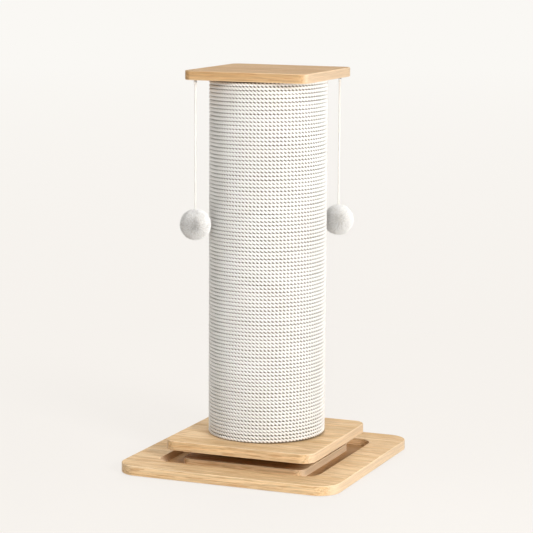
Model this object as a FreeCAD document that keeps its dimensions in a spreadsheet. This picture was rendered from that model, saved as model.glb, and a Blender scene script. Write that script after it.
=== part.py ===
import FreeCAD, Part

import math
import os
import re

import Sketcher

# A free-standing scratching post for cats: a rope-wound tube under a square top board, on a
# step board that stands over a ball race routed into a square base board. Two pom-poms hang
# from opposite corners of the top board.
# Millimetres, +Z up, +X along the front edge, +Y to the back. The origin is on the floor
# under the middle of the base.

SIZES = (
    # name, size in millimetres (or a count, or degrees where it says so), what it is
    ("edge_round", 1.5, "eased edge of every board"),
    ("fit_gap", 0.05, "radial play of a screw or bolt in its hole"),
    ("pad_thickness", 1.5, "non-slip pad under the base"),
    ("pad_radius", 15.0, "non-slip pad"),
    ("pad_inset", 42.0, "centre of a pad from the two edges of the base"),
    ("base_side", 400.0, "square base board"),
    ("base_corner_radius", 38.0, "corner of the base board in plan"),
    ("base_thickness", 17.0, "base board"),
    ("track_offset", 131.0, "middle line of the ball race from the axis"),
    ("track_width", 34.0, "ball race"),
    ("track_depth", 12.5, "ball race, from the top of the base"),
    ("track_corner_radius", 30.0, "outer corner of the ball race in plan"),
    ("island_corner_radius", 18.0, "corner of the island inside the race"),
    ("track_edge_round", 0.8, "eased rims of the ball race"),
    ("ball_radius", 14.0, "ball in the race"),
    ("ball_lift", 0.3, "play between the ball and the floor of the race"),
    ("ball_rest", 35.0, "where the ball rests along the left leg of the race"),
    ("step_gap", 18.0, "height of the spacer between the base and the step board"),
    ("spacer_side", 120.0, "square spacer"),
    ("spacer_corner_radius", 10.0, "corner of the spacer in plan"),
    ("step_side", 276.0, "square step board"),
    ("step_corner_radius", 24.0, "corner of the step board in plan"),
    ("step_thickness", 17.0, "step board"),
    ("post_height", 620.0, "tube, from the step board to the top board"),
    ("tube_radius", 96.3, "outside of the cardboard tube"),
    ("tube_wall", 6.0, "cardboard tube"),
    ("disc_thickness", 18.0, "end disc inside the tube"),
    ("disc_play", 0.2, "radial play between an end disc and the tube"),
    ("rope_diameter", 5.6, "rope"),
    ("rope_gap", 0.45, "least gap between two turns of rope"),
    ("rope_slack", 0.5, "rise per turn at the top of the post less that at its foot"),
    ("rope_seat", 0.3, "play between the rope and the tube or the boards"),
    ("rope_length_count", 5, "lengths of rope, one above the other"),
    ("rope_end_gap", 1.0, "between the ends of two lengths of rope"),
    ("rope_start_angle", 198.0, "degrees from +X where the rope starts, at the foot"),
    ("rope_joint_angle", 112.0, "degrees from +X where one length of rope follows another"),
    ("rope_end_angle", 28.0, "degrees from +X where the rope ends, under the top board"),
    ("top_side", 224.0, "square top board"),
    ("top_corner_radius", 15.0, "corner of the top board in plan"),
    ("top_thickness", 16.0, "top board"),
    ("bolt_count", 4, "bolts that hold the post"),
    ("screw_count", 4, "wood screws in each ring of them"),
    ("bolt_circle_radius", 34.0, "circle of the post bolts"),
    ("bolt_radius", 4.0, "post bolt"),
    ("bolt_hole_play", 0.5, "radial play of a post bolt in the boards"),
    ("bolt_bite", 14.0, "how far a post bolt reaches into the lower disc"),
    ("bolt_head_radius", 7.0, "post bolt"),
    ("bolt_head_height", 4.4, "post bolt"),
    ("bolt_socket_flats", 5.0, "hexagon socket of a post bolt, across its flats"),
    ("bolt_socket_depth", 2.6, "hexagon socket of a post bolt"),
    ("washer_radius", 9.0, "washer of a post bolt"),
    ("washer_thickness", 1.6, "washer of a post bolt"),
    ("recess_radius", 10.5, "recess for a bolt's head under the base"),
    ("recess_depth", 8.0, "recess for a bolt's head under the base"),
    ("insert_radius", 6.0, "threaded insert in the lower disc"),
    ("insert_flange_radius", 7.5, "threaded insert in the lower disc"),
    ("insert_flange_thickness", 1.2, "threaded insert in the lower disc"),
    ("insert_length", 13.0, "threaded insert in the lower disc"),
    ("screw_radius", 2.0, "wood screw"),
    ("screw_head_radius", 4.0, "countersunk head of a wood screw"),
    ("screw_sink", 0.4, "how deep a screw's head lies under the surface"),
    ("screw_tip", 2.5, "pointed end of a wood screw"),
    ("deck_screw_circle_radius", 52.0, "circle of the screws from the base to the step board"),
    ("deck_screw_bite", 12.0, "how far these reach into the step board"),
    ("top_screw_circle_radius", 62.0, "circle of the screws from the upper disc to the top board"),
    ("top_screw_bite", 11.0, "how far these reach into the top board"),
    ("rim_screw_radius", 1.6, "screw through the tube into an end disc"),
    ("rim_screw_head_radius", 3.2, "countersunk head of such a screw"),
    ("rim_screw_bite", 14.0, "how far these reach into an end disc"),
    ("anchor_offset", 95.0, "staple of a string from the axis, along X and along Y"),
    ("staple_wire_radius", 0.6, "staple"),
    ("staple_width", 9.0, "staple, between the middles of its legs"),
    ("staple_depth", 9.0, "how deep a staple's legs go into the top board"),
    ("staple_drop", 3.6, "crown of the staple below the top board"),
    ("loop_radius", 2.2, "middle line of the string's loop round the staple"),
    ("loop_cord_radius", 1.0, "cord of that loop"),
    ("loop_hang", 0.3, "middle of the loop below the crown of the staple"),
    ("knot_radius", 2.4, "knot under the loop"),
    ("knot_drop", 5.0, "middle of the knot below the crown of the staple"),
    ("knot_play", 0.3, "between the knot and the straight string"),
    ("string_radius", 1.8, "string of a pom-pom"),
    ("left_string_length", 208.3, "straight string of the left pom-pom, to its surface"),
    ("right_string_length", 212.0, "straight string of the right pom-pom, to its surface"),
    ("pompom_radius", 28.0, "pom-pom"),
    ("pompom_socket", 8.0, "how deep the string goes into its pom-pom"),
)
NAMES = {name for name, size, note in SIZES}

# Levels and places that follow from the sizes.
BASE_TOP = "(pad_thickness + base_thickness)"
STEP_BOTTOM = f"({BASE_TOP} + step_gap)"
POST_BOTTOM = f"({STEP_BOTTOM} + step_thickness)"
TOP_BOTTOM = f"({POST_BOTTOM} + post_height)"
BORE_RADIUS = "(tube_radius - tube_wall)"
DISC_RADIUS = f"({BORE_RADIUS} - disc_play)"
SCREW_HOLE = "(screw_radius + fit_gap)"
BOLT_HOLE = "(bolt_radius + bolt_hole_play)"
TRACK_OUTER = "(2 * track_offset + track_width)"
TRACK_INNER = "(2 * track_offset - track_width)"
STAPLE_REACH = "staple_width / 2 * sqrt(1 / 2)"

# Degrees from +X to the crown of each staple, which runs across the corner of its board.
LEFT_CROWN_ANGLE = 135
RIGHT_CROWN_ANGLE = -45

ALL_ROUND = 360
BREAKTHROUGH = 1
POINTS_PER_DIAMETER = 8
SAME_LEVEL = 1e-6


class Own:
    """The numbers by which a sketch knows its own axes and its origin."""

    HORIZONTAL = -1
    VERTICAL = -2
    ORIGIN = (-1, 1)


doc = FreeCAD.newDocument("scratching_post")
sheet = doc.addObject("Spreadsheet::Sheet", "Sizes")
nodes = []


# ---- sizes -------------------------------------------------------------------------------


def fill_sheet():
    """One row per driving dimension: its name, its size and what it is."""
    for row, (name, size, note) in enumerate(SIZES, start=1):
        sheet.set(f"A{row}", name)
        sheet.set(f"B{row}", str(size))
        sheet.set(f"C{row}", note)
        sheet.setAlias(f"B{row}", name)
    doc.recompute()


def bound(formula):
    """The same formula with each size as a cell of the sheet."""
    return re.sub(r"[a-z_]+", lambda word: f"Sizes.{word[0]}" if word[0] in NAMES else word[0], formula)


def value(formula):
    return float(sheet.evalExpression(bound(formula)))


def bind(thing, prop, formula):
    thing.setExpression(prop, bound(formula))


def vector(x, y, z=0.0):
    return FreeCAD.Vector(x, y, z)


# ---- sketches ----------------------------------------------------------------------------


def origin_feature(body, role):
    return next(feature for feature in body.Origin.OriginFeatures if feature.Role == role)


def new_sketch(body, plane="XY_Plane", right="0", up="0", out="0"):
    """A sketch on one of its body's own planes, moved by formulas to the right, up or out."""
    sketch = body.newObject("Sketcher::SketchObject", f"{body.Name}_sketch")
    sketch.AttachmentSupport = [(origin_feature(body, plane), "")]
    sketch.MapMode = "FlatFace"
    for axis, formula in (("x", right), ("y", up), ("z", out)):
        if formula != "0":
            bind(sketch, f"AttachmentOffset.Base.{axis}", formula)
    return sketch


def hold(sketch, geometry, point, x, y):
    """Holds one point of a sketch at two formulas, or on an axis where one of them is 0."""
    for kind, axis, formula in (("DistanceX", Own.VERTICAL, x), ("DistanceY", Own.HORIZONTAL, y)):
        if formula == "0":
            sketch.addConstraint(Sketcher.Constraint("PointOnObject", geometry, point, axis))
        else:
            limit = Sketcher.Constraint(kind, *Own.ORIGIN, geometry, point, value(formula))
            bind(sketch, f"Constraints[{sketch.addConstraint(limit)}]", formula)


def draw_outline(sketch, corners):
    """A closed outline of straight sides, each corner held by two formulas."""
    places = [vector(value(x), value(y)) for x, y in corners]
    for start, end in zip(places, places[1:] + places[:1]):
        sketch.addGeometry(Part.LineSegment(start, end), False)
    for side, (x, y) in enumerate(corners):
        sketch.addConstraint(Sketcher.Constraint("Coincident", side, 2, (side + 1) % len(corners), 1))
        hold(sketch, side, 1, x, y)


def draw_circle(sketch, radius, x="0", y="0"):
    centre = vector(value(x), value(y))
    index = sketch.addGeometry(Part.Circle(centre, vector(0, 0, 1), value(radius)), False)
    if x == "0" and y == "0":
        sketch.addConstraint(Sketcher.Constraint("Coincident", index, 3, *Own.ORIGIN))
    else:
        hold(sketch, index, 3, x, y)
    limit = sketch.addConstraint(Sketcher.Constraint("Radius", index, value(radius)))
    bind(sketch, f"Constraints[{limit}]", radius)


def draw_rounded_square(sketch, side, corner_radius):
    """A square about the origin with a round at each corner."""
    half = value(side) / 2
    radius = value(corner_radius)
    flat = half - radius
    first = sketch.GeometryCount
    for turn in range(4):
        spin = FreeCAD.Rotation(vector(0, 0, 1), 90 * turn)
        start = spin.multVec(vector(flat, half))
        end = spin.multVec(vector(-flat, half))
        centre = spin.multVec(vector(-flat, flat))
        sketch.addGeometry(Part.LineSegment(start, end), False)
        corner = Part.Circle(centre, vector(0, 0, 1), radius)
        opening = math.radians(90 * (turn + 1))
        sketch.addGeometry(Part.ArcOfCircle(corner, opening, opening + math.pi / 2), False)
    for turn in range(4):
        line = first + 2 * turn
        arc = line + 1
        following = first + 2 * ((turn + 1) % 4)
        sketch.addConstraint(Sketcher.Constraint("Tangent", line, 2, arc, 1))
        sketch.addConstraint(Sketcher.Constraint("Tangent", arc, 2, following, 1))
    back, left, front, right = (first + 2 * turn for turn in range(4))
    sketch.addConstraint(Sketcher.Constraint("Symmetric", back, 1, back, 2, Own.VERTICAL))
    sketch.addConstraint(Sketcher.Constraint("Symmetric", right, 1, right, 2, Own.HORIZONTAL))
    sketch.addConstraint(Sketcher.Constraint("Horizontal", front))
    sketch.addConstraint(Sketcher.Constraint("Vertical", left))
    for line in (left, front, right):
        sketch.addConstraint(Sketcher.Constraint("Equal", back + 1, line + 1))
    limits = (
        (Sketcher.Constraint("Radius", back + 1, radius), corner_radius),
        (Sketcher.Constraint("DistanceX", left, 1, right, 2, 2 * half), side),
        (Sketcher.Constraint("DistanceY", front, 1, back, 2, 2 * half), side),
    )
    for limit, formula in limits:
        bind(sketch, f"Constraints[{sketch.addConstraint(limit)}]", formula)


# ---- features ----------------------------------------------------------------------------


def new_body(label):
    body = doc.addObject("PartDesign::Body", label)
    keep(body, label)
    return body


def keep(thing, label):
    """Makes a finished object one of the sub-parts, under its node's name."""
    thing.Label = label
    nodes.append(thing)
    return thing


def place(thing, x="0", y="0", z="0", turn=0.0, axis=FreeCAD.Vector(0, 0, 1)):
    """Puts a sub-part where three formulas say, turned by some degrees about an axis."""
    thing.Placement = FreeCAD.Placement(vector(value(x), value(y), value(z)), FreeCAD.Rotation(axis, turn))
    for letter, formula in (("x", x), ("y", y), ("z", z)):
        if formula != "0":
            bind(thing, f"Placement.Base.{letter}", formula)
    return thing


def pad(body, sketch, height):
    feature = body.newObject("PartDesign::Pad", f"{body.Name}_pad")
    feature.Profile = sketch
    bind(feature, "Length", height)
    doc.recompute()
    return feature


def pocket(body, sketch, depth, upwards=False):
    """Cuts down from the sketch, or up from it, and makes sure that something was cut."""
    before = body.Shape.Volume
    feature = body.newObject("PartDesign::Pocket", f"{body.Name}_pocket")
    feature.Profile = sketch
    feature.Reversed = upwards
    bind(feature, "Length", depth)
    doc.recompute()
    must_be_less(body, before)
    return feature


def must_be_less(body, before):
    if body.Shape.Volume >= before:
        raise RuntimeError(f"a cut in {body.Label} removed nothing")


def repeat_round(body, features, count):
    """Repeats features round the body's vertical axis."""
    pattern = body.newObject("PartDesign::PolarPattern", f"{body.Name}_pattern")
    pattern.Originals = features
    pattern.Axis = (origin_feature(body, "Z_Axis"), [""])
    pattern.Angle = ALL_ROUND
    bind(pattern, "Occurrences", count)
    body.Tip = pattern
    doc.recompute()


def turn_solid(body, sketch, sketch_axis="V_Axis"):
    feature = body.newObject("PartDesign::Revolution", f"{body.Name}_turned")
    feature.Profile = sketch
    feature.ReferenceAxis = (sketch, [sketch_axis])
    feature.Angle = ALL_ROUND
    doc.recompute()
    return feature


def turn_cut(body, sketch, sketch_axis="V_Axis"):
    before = body.Shape.Volume
    feature = body.newObject("PartDesign::Groove", f"{body.Name}_bore")
    feature.Profile = sketch
    feature.ReferenceAxis = (sketch, [sketch_axis])
    feature.Angle = ALL_ROUND
    doc.recompute()
    must_be_less(body, before)
    return feature


def upright_holes(body, circle_radius, profile, count):
    """Cuts turned holes round the axis: profile lists their radii and heights."""
    sketch = new_sketch(body, "XZ_Plane", right=circle_radius)
    draw_outline(sketch, profile)
    repeat_round(body, [turn_cut(body, sketch)], count)


def upright_group(label, circle_radius, profile, count):
    """A group of equal turned pieces round the axis, each a solid of its own."""
    body = new_body(label)
    sketch = new_sketch(body, "XZ_Plane", right=circle_radius)
    draw_outline(sketch, profile)
    repeat_round(body, [turn_solid(body, sketch)], count)
    return body


def flat_edges(shape, height, reach=math.inf):
    """Names of the edges that lie flat at a height, no further out than reach."""
    found = []
    for index, edge in enumerate(shape.Edges, start=1):
        box = edge.BoundBox
        level = abs(box.ZMin - height) < SAME_LEVEL and abs(box.ZMax - height) < SAME_LEVEL
        furthest = max(abs(box.XMin), abs(box.XMax), abs(box.YMin), abs(box.YMax))
        if level and furthest < reach:
            found.append(f"Edge{index}")
    return found


def ease(body, feature, edges, radius):
    fillet = body.newObject("PartDesign::Fillet", f"{body.Name}_eased")
    fillet.Base = (feature, edges)
    bind(fillet, "Radius", radius)
    doc.recompute()
    return fillet


# ---- boards ------------------------------------------------------------------------------


def new_board(label, side, corner_radius, thickness, bottom):
    """A square board with round corners and eased edges, lying with its underside at bottom."""
    body = new_body(label)
    sketch = new_sketch(body)
    draw_rounded_square(sketch, side, corner_radius)
    slab = pad(body, sketch, thickness)
    rims = flat_edges(slab.Shape, value(thickness)) + flat_edges(slab.Shape, 0.0)
    ease(body, slab, rims, "edge_round")
    place(body, z=bottom)
    return body


def sunk_hole(depth):
    """Profile of a countersunk hole that opens downwards, from the surface to a depth."""
    head = "(screw_head_radius + fit_gap)"
    return [
        ("0", f"-{BREAKTHROUGH}"),
        (head, f"-{BREAKTHROUGH}"),
        (head, "screw_sink"),
        (SCREW_HOLE, f"screw_sink + {head} - {SCREW_HOLE}"),
        (SCREW_HOLE, depth),
        ("0", depth),
    ]


def plain_hole(radius, start, end):
    return [("0", start), (radius, start), (radius, end), ("0", end)]


def make_base_board():
    body = new_board("base_board", "base_side", "base_corner_radius", "base_thickness", "pad_thickness")
    race = new_sketch(body, out="base_thickness")
    draw_rounded_square(race, TRACK_OUTER, "track_corner_radius")
    draw_rounded_square(race, TRACK_INNER, "island_corner_radius")
    groove = pocket(body, race, "track_depth")
    reach = value(TRACK_OUTER) / 2 + value("track_edge_round")
    rims = flat_edges(groove.Shape, value("base_thickness"), reach)
    ease(body, groove, rims, "track_edge_round")
    through = f"base_thickness + {BREAKTHROUGH}"
    bolt_hole = [
        ("0", f"-{BREAKTHROUGH}"),
        ("recess_radius", f"-{BREAKTHROUGH}"),
        ("recess_radius", "recess_depth"),
        (BOLT_HOLE, "recess_depth"),
        (BOLT_HOLE, through),
        ("0", through),
    ]
    upright_holes(body, "bolt_circle_radius", bolt_hole, "bolt_count")
    upright_holes(body, "deck_screw_circle_radius", sunk_hole(through), "screw_count")


def make_spacer():
    body = new_body("spacer_block")
    sketch = new_sketch(body)
    draw_rounded_square(sketch, "spacer_side", "spacer_corner_radius")
    pad(body, sketch, "step_gap")
    span = (f"-{BREAKTHROUGH}", f"step_gap + {BREAKTHROUGH}")
    upright_holes(body, "bolt_circle_radius", plain_hole(BOLT_HOLE, *span), "bolt_count")
    upright_holes(body, "deck_screw_circle_radius", plain_hole(SCREW_HOLE, *span), "screw_count")
    place(body, z=BASE_TOP)


def make_step_board():
    body = new_board("step_board", "step_side", "step_corner_radius", "step_thickness", STEP_BOTTOM)
    start = f"-{BREAKTHROUGH}"
    bolt_hole = plain_hole(BOLT_HOLE, start, f"step_thickness + {BREAKTHROUGH}")
    upright_holes(body, "bolt_circle_radius", bolt_hole, "bolt_count")
    pilot = plain_hole(SCREW_HOLE, start, "deck_screw_bite + fit_gap")
    upright_holes(body, "deck_screw_circle_radius", pilot, "screw_count")


def make_top_board():
    body = new_board("top_board", "top_side", "top_corner_radius", "top_thickness", TOP_BOTTOM)
    pilot = plain_hole(SCREW_HOLE, f"-{BREAKTHROUGH}", "top_screw_bite + fit_gap")
    upright_holes(body, "top_screw_circle_radius", pilot, "screw_count")
    legs = new_sketch(body)
    for side in ("", "-"):
        for leg in ("+", "-"):
            x = f"{side}(anchor_offset {leg} {STAPLE_REACH})"
            y = f"{side}(anchor_offset - {leg}{STAPLE_REACH})"
            draw_circle(legs, "staple_wire_radius + fit_gap", x, y)
    pocket(body, legs, "staple_depth + fit_gap", upwards=True)


def make_pads():
    """Four round pads under the corners of the base."""
    reach = "(base_side / 2 - pad_inset)"
    for depth_name, depth_sign in (("front", "-"), ("back", "")):
        for side_name, side_sign in (("left", "-"), ("right", "")):
            disc = doc.addObject("Part::Cylinder", f"pad_{depth_name}_{side_name}")
            bind(disc, "Radius", "pad_radius")
            bind(disc, "Height", "pad_thickness")
            keep(disc, f"non_slip_pad_{depth_name}_{side_name}")
            place(disc, x=side_sign + reach, y=depth_sign + reach)


# ---- post --------------------------------------------------------------------------------


def rim_hole(surface, end):
    """Profile of a countersunk hole along the sketch's horizontal axis, open outwards."""
    head = "(rim_screw_head_radius + fit_gap)"
    shank = "(rim_screw_radius + fit_gap)"
    flush = f"({surface} - screw_sink)"
    outside = f"({surface} + {BREAKTHROUGH})"
    return [
        (outside, "0"),
        (outside, head),
        (flush, head),
        (f"{flush} - {head} + {shank}", shank),
        (end, shank),
        (end, "0"),
    ]


def rim_holes(body, height, profile):
    """Cuts four holes through a round wall at a height, each pointing at the axis."""
    sketch = new_sketch(body, "XZ_Plane", up=height)
    draw_outline(sketch, profile)
    repeat_round(body, [turn_cut(body, sketch, "H_Axis")], "screw_count")


def make_tube():
    body = new_body("core_tube")
    ring = new_sketch(body)
    draw_circle(ring, "tube_radius")
    draw_circle(ring, BORE_RADIUS)
    pad(body, ring, "post_height")
    inner_end = f"({BORE_RADIUS} - {BREAKTHROUGH})"
    for height in ("disc_thickness / 2", "post_height - disc_thickness / 2"):
        rim_holes(body, height, rim_hole("tube_radius", inner_end))
    place(body, z=POST_BOTTOM)


def new_disc(label, bottom):
    """A round end disc with pilot holes in its rim."""
    body = new_body(label)
    face = new_sketch(body)
    draw_circle(face, DISC_RADIUS)
    pad(body, face, "disc_thickness")
    deepest = f"({BORE_RADIUS} - rim_screw_bite - fit_gap)"
    outside = f"({DISC_RADIUS} + {BREAKTHROUGH})"
    shank = "(rim_screw_radius + fit_gap)"
    pilot = [(outside, "0"), (outside, shank), (deepest, shank), (deepest, "0")]
    rim_holes(body, "disc_thickness / 2", pilot)
    place(body, z=bottom)
    return body


def make_discs():
    lower = new_disc("lower_end_disc", POST_BOTTOM)
    flange = "(insert_flange_radius + fit_gap)"
    sleeve = "(insert_radius + fit_gap)"
    above = f"disc_thickness + {BREAKTHROUGH}"
    seat = [
        ("0", f"-{BREAKTHROUGH}"),
        (flange, f"-{BREAKTHROUGH}"),
        (flange, "insert_flange_thickness"),
        (sleeve, "insert_flange_thickness"),
        (sleeve, "insert_length"),
        (BOLT_HOLE, "insert_length"),
        (BOLT_HOLE, above),
        ("0", above),
    ]
    upright_holes(lower, "bolt_circle_radius", seat, "bolt_count")
    upper = new_disc("upper_end_disc", f"({TOP_BOTTOM} - disc_thickness)")
    upright_holes(upper, "top_screw_circle_radius", sunk_hole(above), "screw_count")


# ---- fasteners ---------------------------------------------------------------------------


def wood_screw(length):
    """Profile of an upright countersunk screw that starts just under the surface at 0."""
    return [
        ("0", "screw_sink"),
        ("screw_head_radius", "screw_sink"),
        ("screw_radius", "screw_sink + screw_head_radius - screw_radius"),
        ("screw_radius", f"{length} - screw_tip"),
        ("0", length),
    ]


def make_screws():
    deck_length = "(base_thickness + step_gap + deck_screw_bite)"
    deck = upright_group("deck_screws", "deck_screw_circle_radius", wood_screw(deck_length), "screw_count")
    place(deck, z="pad_thickness")
    top_length = "(disc_thickness + top_screw_bite)"
    top = upright_group("top_board_screws", "top_screw_circle_radius", wood_screw(top_length), "screw_count")
    place(top, z=f"{TOP_BOTTOM} - disc_thickness")


def make_rim_screws():
    """Screws through the tube into the rim of each end disc, under the rope."""
    flush = "(tube_radius - screw_sink)"
    tip = f"({BORE_RADIUS} - rim_screw_bite)"
    profile = [
        (flush, "0"),
        (flush, "rim_screw_head_radius"),
        (f"{flush} - rim_screw_head_radius + rim_screw_radius", "rim_screw_radius"),
        (f"{tip} + screw_tip", "rim_screw_radius"),
        (tip, "0"),
    ]
    levels = (
        ("lower_rim_screws", f"{POST_BOTTOM} + disc_thickness / 2"),
        ("upper_rim_screws", f"{TOP_BOTTOM} - disc_thickness / 2"),
    )
    for label, level in levels:
        body = new_body(label)
        sketch = new_sketch(body, "XZ_Plane")
        draw_outline(sketch, profile)
        repeat_round(body, [turn_solid(body, sketch, "H_Axis")], "screw_count")
        place(body, z=level)


def make_bolts():
    """The bolts that hold the post, each with a hexagon socket, its washer and its insert."""
    washer_bottom = "(recess_depth - washer_thickness)"
    head_bottom = f"({washer_bottom} - bolt_head_height)"
    tip = "(base_thickness + step_gap + step_thickness + bolt_bite)"
    bolts = new_body("post_bolts")
    side = new_sketch(bolts, "XZ_Plane", right="bolt_circle_radius")
    outline = [
        ("0", head_bottom),
        ("bolt_head_radius", head_bottom),
        ("bolt_head_radius", washer_bottom),
        ("bolt_radius", washer_bottom),
        ("bolt_radius", tip),
        ("0", tip),
    ]
    draw_outline(side, outline)
    turned = turn_solid(bolts, side)
    socket = new_sketch(bolts, right="bolt_circle_radius", out=head_bottom)
    across = "(bolt_socket_flats / 2 / cos(30))"
    hexagon = [(f"{across} * cos({60 * turn})", f"{across} * sin({60 * turn})") for turn in range(6)]
    draw_outline(socket, hexagon)
    opened = pocket(bolts, socket, "bolt_socket_depth", upwards=True)
    repeat_round(bolts, [turned, opened], "bolt_count")
    place(bolts, z="pad_thickness")
    ring = [
        (BOLT_HOLE, washer_bottom),
        ("washer_radius", washer_bottom),
        ("washer_radius", "recess_depth"),
        (BOLT_HOLE, "recess_depth"),
    ]
    washers = upright_group("bolt_washers", "bolt_circle_radius", ring, "bolt_count")
    place(washers, z="pad_thickness")
    bore = "(bolt_radius + fit_gap)"
    sleeve = [
        (bore, "0"),
        ("insert_flange_radius", "0"),
        ("insert_flange_radius", "insert_flange_thickness"),
        ("insert_radius", "insert_flange_thickness"),
        ("insert_radius", "insert_length"),
        (bore, "insert_length"),
    ]
    inserts = upright_group("threaded_inserts", "bolt_circle_radius", sleeve, "bolt_count")
    place(inserts, z=POST_BOTTOM)


# ---- rope --------------------------------------------------------------------------------


def arc_middle(start, heading, end):
    """Middle of the arc that leaves start along heading and reaches end."""
    chord = end - start
    along = FreeCAD.Vector(chord).normalize()
    aside = heading - along * heading.dot(along)
    turn = heading.getAngle(chord)
    return start + chord * 0.5 + aside.normalize() * (chord.Length / 2 * math.tan(turn / 2))


def two_arcs(start, heading, end, end_heading):
    """Two arcs that meet in line and join two points, each with its heading."""
    reach = end - start
    both = heading + end_heading
    spread = 2 * (1 - heading.dot(end_heading))
    pull = reach.dot(both)
    length = (-pull + math.sqrt(pull * pull + spread * reach.dot(reach))) / spread
    middle = (start + end + (heading - end_heading) * length) * 0.5
    first = Part.Arc(start, arc_middle(start, heading, middle), middle).toShape()
    last_middle = arc_middle(end, end_heading * -1, middle)
    return [first, Part.Arc(middle, last_middle, end).toShape()]


class Winding:
    """The middle line of the whole rope: a helix whose rise per turn grows a little upwards."""

    def __init__(self):
        self.diameter = value("rope_diameter")
        seat = value("rope_seat")
        self.slack = value("rope_slack")
        self.radius = value("tube_radius") + seat + self.diameter / 2
        self.bottom = value(POST_BOTTOM) + seat + self.diameter / 2
        self.rise = value("post_height") - self.diameter - 2 * seat
        rise_per_turn = self.diameter + value("rope_gap") + self.slack / 2
        self.rows = math.floor(self.rise / rise_per_turn)
        count = round(value("rope_length_count"))
        joints = [value("rope_joint_angle") + ALL_ROUND * round(self.rows * k / count) for k in range(1, count)]
        end = value("rope_end_angle") + ALL_ROUND * self.rows
        self.stops = [math.radians(angle) for angle in [value("rope_start_angle"), *joints, end]]
        self.sweep = self.stops[-1] - self.stops[0]
        self.lag = self.slack * self.sweep / (4 * math.pi)

    def height(self, angle):
        share = (angle - self.stops[0]) / self.sweep
        return self.bottom + self.rise * share - self.lag * share * (1 - share)

    def climb(self, angle):
        share = (angle - self.stops[0]) / self.sweep
        return (self.rise - self.lag * (1 - 2 * share)) / self.sweep

    def point(self, angle):
        return vector(self.radius * math.cos(angle), self.radius * math.sin(angle), self.height(angle))

    def heading(self, angle):
        along = vector(-self.radius * math.sin(angle), self.radius * math.cos(angle), self.climb(angle))
        return along.normalize()

    def path(self, index):
        """Middle line of one length: a straight end, its turns in half turns and a straight end."""
        spare = (self.diameter + value("rope_end_gap") / 2) / self.radius
        first = self.stops[index] + spare
        last = self.stops[index + 1] - spare
        half_turns = math.ceil((last - first) / math.pi)
        angles = [first + (last - first) * step / half_turns for step in range(half_turns + 1)]
        start, end = self.point(first), self.point(last)
        edges = [Part.makeLine(start - self.heading(first) * self.diameter, start)]
        for here, there in zip(angles, angles[1:]):
            edges += two_arcs(self.point(here), self.heading(here), self.point(there), self.heading(there))
        edges.append(Part.makeLine(end, end + self.heading(last) * self.diameter))
        return Part.Wire(edges), self.heading(first)


def least_gap(path, diameter, turn_length):
    """Least gap between one turn of a wound tube and the next, on points along both."""
    steps = math.ceil(path.Length / diameter * POINTS_PER_DIAMETER)
    points = path.discretize(steps)
    stride = path.Length / (steps - 1)
    near = math.floor((turn_length - diameter) / stride)
    far = math.ceil((turn_length + diameter) / stride)
    least = math.inf
    for index, start in enumerate(points):
        for other in points[index + near:index + far]:
            least = min(least, start.distanceToPoint(other))
    return least - diameter


def make_rope():
    """The rope's lengths, each one unbroken tube wound up the post."""
    winding = Winding()
    diameter = winding.diameter
    for index in range(len(winding.stops) - 1):
        path, heading = winding.path(index)
        start = path.OrderedVertexes[0].Point
        section = Part.Wire([Part.Circle(start, heading, diameter / 2).toShape()])
        shell = Part.BRepOffsetAPI.MakePipeShell(path)
        shell.add(section)
        shell.build()
        shell.makeSolid()
        rope = doc.addObject("Part::Feature", f"rope_length_{index + 1}")
        rope.Shape = shell.shape()
        keep(rope, f"rope_length_{index + 1}")
        turn_length = 2 * math.pi * winding.radius
        expected = math.pi * diameter ** 2 / 4 * path.Length
        print(
            f"{rope.Label}: {path.Length / turn_length:.1f} turns, length {path.Length:.0f} mm,"
            f" volume {rope.Shape.Volume / expected:.4f} of section times length,"
            f" least gap to itself {least_gap(path, diameter, turn_length):.3f} mm"
        )


# ---- toys --------------------------------------------------------------------------------


def make_ball():
    ball = doc.addObject("Part::Sphere", "ball")
    bind(ball, "Radius", "ball_radius")
    keep(ball, "track_ball")
    floor = f"{BASE_TOP} - track_depth"
    place(ball, x="-track_offset", y="ball_rest", z=f"{floor} + ball_lift + ball_radius")


def rod(name, radius, height):
    cylinder = doc.addObject("Part::Cylinder", name)
    bind(cylinder, "Radius", radius)
    bind(cylinder, "Height", height)
    return cylinder


def globe(name, radius):
    sphere = doc.addObject("Part::Sphere", name)
    bind(sphere, "Radius", radius)
    return sphere


def joined(name, pieces):
    union = doc.addObject("Part::MultiFuse", name)
    union.Shapes = pieces
    return union


def make_staple(side, x, y, crown_turn):
    """A wire staple in the top board, its crown below the board along its own X."""
    half = "staple_width / 2"
    crown = rod(f"{side}_crown", "staple_wire_radius", "staple_width")
    place(crown, x=f"-{half}", turn=90, axis=vector(0, 1, 0))
    pieces = [crown]
    for leg, sign in (("a", "-"), ("b", "")):
        bend = globe(f"{side}_bend_{leg}", "staple_wire_radius")
        place(bend, x=sign + half)
        upright = rod(f"{side}_leg_{leg}", "staple_wire_radius", "staple_drop + staple_depth")
        place(upright, x=sign + half)
        pieces += [bend, upright]
    staple = joined(f"{side}_staple_wire", pieces)
    keep(staple, f"{side}_string_staple")
    place(staple, x, y, f"{TOP_BOTTOM} - staple_drop", turn=crown_turn)


def make_loop(side, x, y, crown_turn):
    """The string's end: a loop round the crown of the staple, closed by a knot."""
    ring = doc.addObject("Part::Torus", f"{side}_ring")
    bind(ring, "Radius1", "loop_radius")
    bind(ring, "Radius2", "loop_cord_radius")
    place(ring, z="-loop_hang", turn=90, axis=vector(0, 1, 0))
    knot = globe(f"{side}_knot", "knot_radius")
    place(knot, z="-knot_drop")
    loop = joined(f"{side}_loop_and_knot", [ring, knot])
    keep(loop, f"{side}_string_loop")
    place(loop, x, y, f"{TOP_BOTTOM} - staple_drop", turn=crown_turn)


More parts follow.
